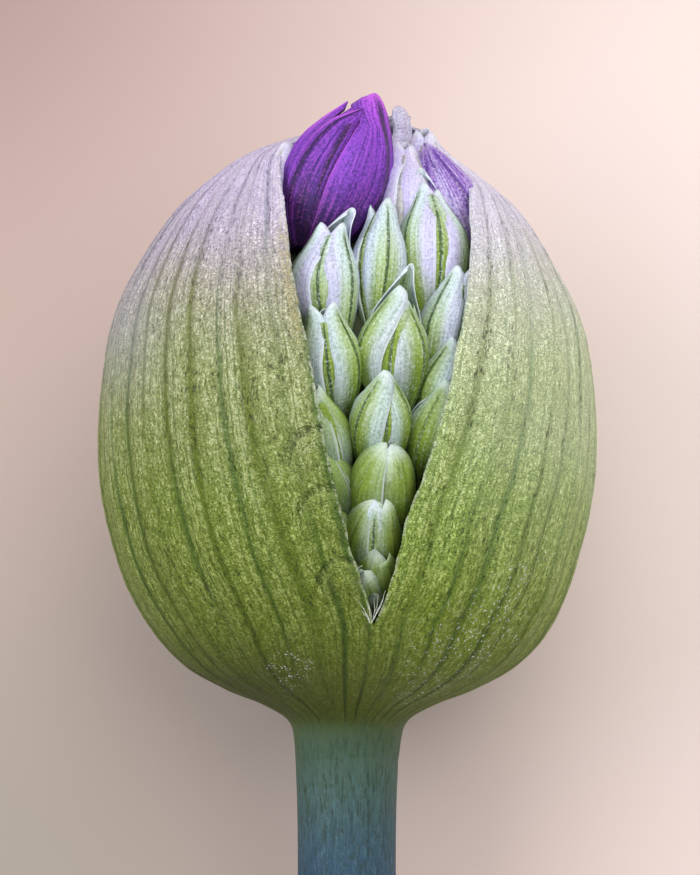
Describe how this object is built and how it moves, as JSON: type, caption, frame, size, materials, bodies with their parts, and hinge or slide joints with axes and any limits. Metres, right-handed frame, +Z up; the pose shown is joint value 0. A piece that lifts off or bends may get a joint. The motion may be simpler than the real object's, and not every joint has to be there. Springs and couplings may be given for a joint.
{
  "type": "allium flower bud",
  "caption": "Round flower bud of an ornamental onion, its papery sheath split down one side over packed closed florets, cut with a short stem and lying on its side.",
  "frame": {"origin": "on the surface it lies on, under the middle of the part's box", "axes": "+Y along the stem towards the bud's tip, +Z up out of the split, +X to the right of the split"},
  "size_m": [0.045, 0.116, 0.0453],
  "materials": {
    "stem": "blue-green plant skin with fine lengthwise lines, slightly waxy",
    "sheath": "thin papery bract, olive green with darker veins and lilac-silver tissue near the tip",
    "pale_florets": "pale mint tepals with green keels and white rims, softly translucent",
    "violet_florets": "violet tepals with darker midribs, softly translucent"
  },
  "bodies": {
    "root": {"stem": "stem", "sheath": "sheath", "flower_buds": "pale_florets", "violet_floret_front": "violet_florets", "violet_floret_side": "violet_florets"}
  },
  "joints": []
}
